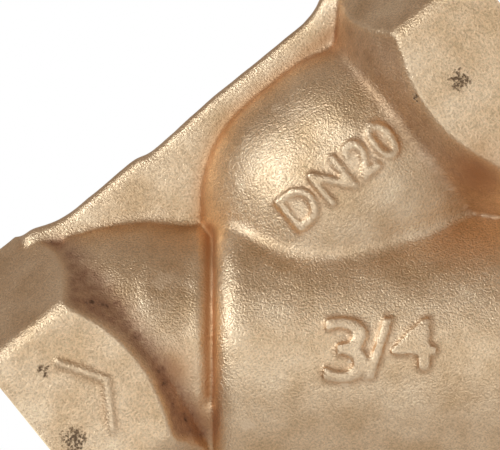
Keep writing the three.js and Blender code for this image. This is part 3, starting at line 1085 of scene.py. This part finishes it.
def gasket_fibre(colour):
    material, tree, shader, coordinates = new_material("gasket_fibre")
    grain = node(tree, "ShaderNodeGroup", (-900, 0), node_tree=grain_group())
    grain.inputs["Fine Scale"].default_value = 3800.0
    tree.links.new(coordinates.outputs["Object"], grain.inputs["Vector"])
    dark = tuple(c * 0.7 for c in colour)
    toned = ramp(tree, grain.outputs["Speck"], [(0.35, dark), (0.65, colour)], (-600, 0))
    tree.links.new(toned, shader.inputs["Base Color"])
    shader.inputs["Roughness"].default_value = 0.85
    add_bump(tree, grain.outputs["Height"], shader, 0.3, 0.03)
    return material


def painted(obj, material):
    obj.data.materials.clear()
    obj.data.materials.append(material)
    return obj


# ---------------------------------------------------------------- settings, operators, panel


class StrainerSizes(bpy.types.PropertyGroup):
    hex_flats: bpy.props.FloatProperty(
        name="Across flats",
        description="Width of the pipe hexagons across their flats",
        default=2 * HEX_HALF * MM,
        unit="LENGTH",
    )
    core_voxel: bpy.props.FloatProperty(
        name="Core detail",
        description="Cell size at which dome and chamber are drawn together",
        default=0.00045,
        precision=5,
        unit="LENGTH",
    )
    core_passes: bpy.props.IntProperty(
        name="Core fillet passes",
        description="How wide the fillet between dome and chamber is",
        default=26,
    )
    voxel: bpy.props.FloatProperty(
        name="Forging detail",
        description="Cell size at which the forging's skin is drawn together",
        default=0.00025,
        precision=5,
        unit="LENGTH",
    )
    fillet_passes: bpy.props.IntProperty(
        name="Fillet passes",
        description="How far the creases round the hexagons are drawn into fillets",
        default=36,
    )
    hammered: bpy.props.FloatProperty(
        name="Unevenness",
        description="Depth of the forging's uneven skin",
        default=0.00012,
        precision=5,
        unit="LENGTH",
    )
    keep_faces: bpy.props.FloatProperty(
        name="Kept faces",
        description="Share of the skin's faces that stay",
        default=0.31,
        subtype="FACTOR",
    )


class StrainerFinish(bpy.types.PropertyGroup):
    bronze_colour: bpy.props.FloatVectorProperty(
        name="Bronze",
        description="Colour of the shot-blasted bronze",
        default=(0.82, 0.575, 0.355),
        size=3,
        subtype="COLOR",
    )
    dirt_colour: bpy.props.FloatVectorProperty(
        name="Dirt",
        description="Colour of the dirt settled beside the hexagons",
        default=(0.38, 0.195, 0.115),
        size=3,
        subtype="COLOR",
    )
    bronze_roughness: bpy.props.FloatProperty(
        name="Bronze roughness",
        description="How matt the shot-blasted skin is",
        default=0.33,
        subtype="FACTOR",
    )
    grain_strength: bpy.props.FloatProperty(
        name="Grain",
        description="Strength of the shot-blasted grain",
        default=1.0,
        subtype="FACTOR",
    )
    brass_colour: bpy.props.FloatVectorProperty(
        name="Brass",
        description="Colour of the turned brass cap and plug",
        default=(0.72, 0.54, 0.26),
        size=3,
        subtype="COLOR",
    )


class StrainerStage(bpy.types.PropertyGroup):
    floor_drop: bpy.props.FloatProperty(
        name="Floor drop",
        description="How far the floor lies under the drain plug",
        default=0.04,
        unit="LENGTH",
    )
    camera_distance: bpy.props.FloatProperty(
        name="Camera distance",
        description="From the camera to the middle of the strainer",
        default=0.6,
        unit="LENGTH",
    )


class STRAINER_OT_body(bpy.types.Operator):
    """Forges, fillets and bores the body"""

    bl_idname = "strainer.body"
    bl_label = "Body"

    def execute(self, context):
        finish = context.scene.strainer_finish
        forged = forged_bronze(finish)
        machined = turned_metal("bored_bronze", (0.80, 0.60, 0.36), 0.32)
        body = forged_body(context.scene.strainer_sizes, forged, machined)
        finish_piece(body, "housing", "bronze_forging", "body")
        return {"FINISHED"}


class STRAINER_OT_cap(bpy.types.Operator):
    """Turns the cap and the drain plug"""

    bl_idname = "strainer.cap"
    bl_label = "Cap and drain plug"

    def execute(self, context):
        brass = turned_metal("turned_brass", tuple(context.scene.strainer_finish.brass_colour), 0.3)
        finish_piece(painted(cap_piece(), brass), "cap", "turned_brass", "cap")
        finish_piece(painted(plug_piece(), brass), "plug", "turned_brass", "drain_plug")
        return {"FINISHED"}


class STRAINER_OT_gaskets(bpy.types.Operator):
    """Presses the two gaskets"""

    bl_idname = "strainer.gaskets"
    bl_label = "Gaskets"

    def execute(self, context):
        fibre = gasket_fibre((0.30, 0.085, 0.045))
        large = painted(gasket("gasket_large", 15.7, 13.75, 43.15, 44.5), fibre)
        small = painted(gasket("gasket_small", 7.2, 4.9, 54.6, 55.8), fibre)
        finish_piece(large, "cap_seal", "fibre", "cap_gasket")
        finish_piece(small, "plug_seal", "fibre", "drain_plug_gasket")
        return {"FINISHED"}


class STRAINER_OT_screen(bpy.types.Operator):
    """Rolls the perforated tube and the mesh and presses their two end rings"""

    bl_idname = "strainer.screen"
    bl_label = "Screen"

    def execute(self, context):
        steel = turned_metal("pressed_steel", (0.60, 0.61, 0.62), 0.28)
        wire = turned_metal("drawn_wire", (0.52, 0.53, 0.54), 0.34)
        tube, sleeve = painted(support_tube(), steel), painted(mesh_sleeve(), wire)
        seat = painted(end_ring("ring_seat", 1.6, True), steel)
        base = painted(end_ring("ring_base", 42.6, False), steel)
        finish_piece(tube, "screen", "stainless_sheet", "screen_support_tube")
        finish_piece(sleeve, "screen", "stainless_wire", "screen_mesh")
        finish_piece(seat, "screen", "stainless_sheet", "screen_seat_ring")
        finish_piece(base, "screen", "stainless_sheet", "screen_base_ring")
        return {"FINISHED"}


class STRAINER_OT_stage(bpy.types.Operator):
    """Sets the floor, the lights and the camera"""

    bl_idname = "strainer.stage"
    bl_label = "Stage"

    def execute(self, context):
        stage = context.scene.strainer_stage
        make_floor(stage.floor_drop)
        make_lights()
        make_world(context.scene)
        make_camera(context.scene, stage.camera_distance)
        return {"FINISHED"}


def make_floor(drop):
    put_down()
    middle = (0.03, 0, LOWEST - drop)
    bpy.ops.mesh.primitive_circle_add(vertices=96, radius=1.6, fill_type="NGON", location=middle)
    floor = named("floor")
    bpy.ops.object.transform_apply(location=True)
    material, tree, shader, coordinates = new_material("pale_floor")
    noise = node(tree, "ShaderNodeTexNoise", (-600, 0))
    noise.inputs["Scale"].default_value = 40.0
    tree.links.new(coordinates.outputs["Object"], noise.inputs["Vector"])
    tone = ramp(tree, noise.outputs["Fac"], [(0.3, (0.90,) * 3), (0.7, (0.92,) * 3)], (-300, 0))
    tree.links.new(tone, shader.inputs["Base Color"])
    shader.inputs["Roughness"].default_value = 0.8
    path = node(tree, "ShaderNodeLightPath", (300, -300))
    tree.links.new(path.outputs["Is Camera Ray"], shader.inputs["Emission Color"])
    shader.inputs["Emission Strength"].default_value = 0.32
    painted(floor, material)


def make_light(name, across, up, near, size, power, colour=(0.77, 0.90, 1.0)):
    """A soft area light, placed by its direction from the strainer, aimed at it."""
    direction = (VIEW_RIGHT * across + VIEW_UP * up + NEAR_SIDE * near).normalized()
    data = bpy.data.lights.new(name, "AREA")
    data.shape = "DISK"
    data.size = size
    data.energy = power
    data.color = colour
    light = bpy.data.objects.new(name, data)
    bpy.context.scene.collection.objects.link(light)
    light.location = AIM + direction * LIGHT_DISTANCE
    light.rotation_euler = direction.to_track_quat("Z", "Y").to_euler()
    light.visible_camera = False
    return light


def make_lights():
    make_light("key", -0.72, 0.42, 0.55, 0.36, 1.9)
    make_light("front", 0.0, -0.06, 1.0, 0.6, 1.3)
    make_light("low", 0.1, -0.9, 0.45, 0.6, 1.0)
    make_light("side", 0.75, 0.25, 0.6, 0.4, 0.35)
    make_light("back", 0.5, 0.2, -0.85, 0.5, 1.8)


def make_world(scene):
    world = bpy.data.worlds.new("studio")
    scene.world = world
    world.use_nodes = True
    tree = world.node_tree
    tree.nodes.clear()
    output = node(tree, "ShaderNodeOutputWorld", (600, 0))
    seen = node(tree, "ShaderNodeBackground", (0, 150))
    seen.inputs["Color"].default_value = (1, 1, 1, 1)
    seen.inputs["Strength"].default_value = 1.0
    cast = node(tree, "ShaderNodeBackground", (0, -150))
    cast.inputs["Color"].default_value = (1.0, 0.88, 0.78, 1)
    cast.inputs["Strength"].default_value = 0.34
    path = node(tree, "ShaderNodeLightPath", (0, 400))
    mix = node(tree, "ShaderNodeMixShader", (300, 0))
    tree.links.new(path.outputs["Is Camera Ray"], mix.inputs["Fac"])
    tree.links.new(cast.outputs[0], mix.inputs[1])
    tree.links.new(seen.outputs[0], mix.inputs[2])
    tree.links.new(mix.outputs[0], output.inputs["Surface"])
    scene.view_settings.view_transform = "Standard"


def make_camera(scene, distance):
    data = bpy.data.cameras.new("camera")
    data.sensor_width = 36.0
    data.lens = data.sensor_width * distance / VIEW_WIDTH
    data.clip_start = 0.01
    data.clip_end = 20.0
    camera = bpy.data.objects.new("camera", data)
    scene.collection.objects.link(camera)
    camera.matrix_world = basis(VIEW_RIGHT, VIEW_UP, NEAR_SIDE, AIM + NEAR_SIDE * distance)
    scene.camera = camera


class STRAINER_PT_panel(bpy.types.Panel):
    """Makes the strainer piece by piece"""

    bl_idname = "STRAINER_PT_panel"
    bl_label = "Y Strainer"
    bl_space_type = "VIEW_3D"
    bl_region_type = "UI"
    bl_category = "Strainer"

    def draw(self, context):
        for group in (
            context.scene.strainer_sizes,
            context.scene.strainer_finish,
            context.scene.strainer_stage,
        ):
            column = self.layout.column(align=True)
            for name in group.bl_rna.properties.keys():
                if name not in {"rna_type", "name"}:
                    column.prop(group, name)
        for operator in OPERATORS:
            self.layout.operator(operator.bl_idname)


OPERATORS = (
    STRAINER_OT_body,
    STRAINER_OT_cap,
    STRAINER_OT_gaskets,
    STRAINER_OT_screen,
    STRAINER_OT_stage,
)
SETTINGS = (StrainerSizes, StrainerFinish, StrainerStage)


def register():
    for kind in (*SETTINGS, *OPERATORS, STRAINER_PT_panel):
        bpy.utils.register_class(kind)
    bpy.types.Scene.strainer_sizes = bpy.props.PointerProperty(type=StrainerSizes)
    bpy.types.Scene.strainer_finish = bpy.props.PointerProperty(type=StrainerFinish)
    bpy.types.Scene.strainer_stage = bpy.props.PointerProperty(type=StrainerStage)


def unregister():
    del bpy.types.Scene.strainer_sizes
    del bpy.types.Scene.strainer_finish
    del bpy.types.Scene.strainer_stage
    for kind in reversed((*SETTINGS, *OPERATORS, STRAINER_PT_panel)):
        bpy.utils.unregister_class(kind)


def main():
    register()
    for name in ("body", "cap", "gaskets", "screen", "stage"):
        getattr(bpy.ops.strainer, name)()


if __name__ == "__main__":
    main()
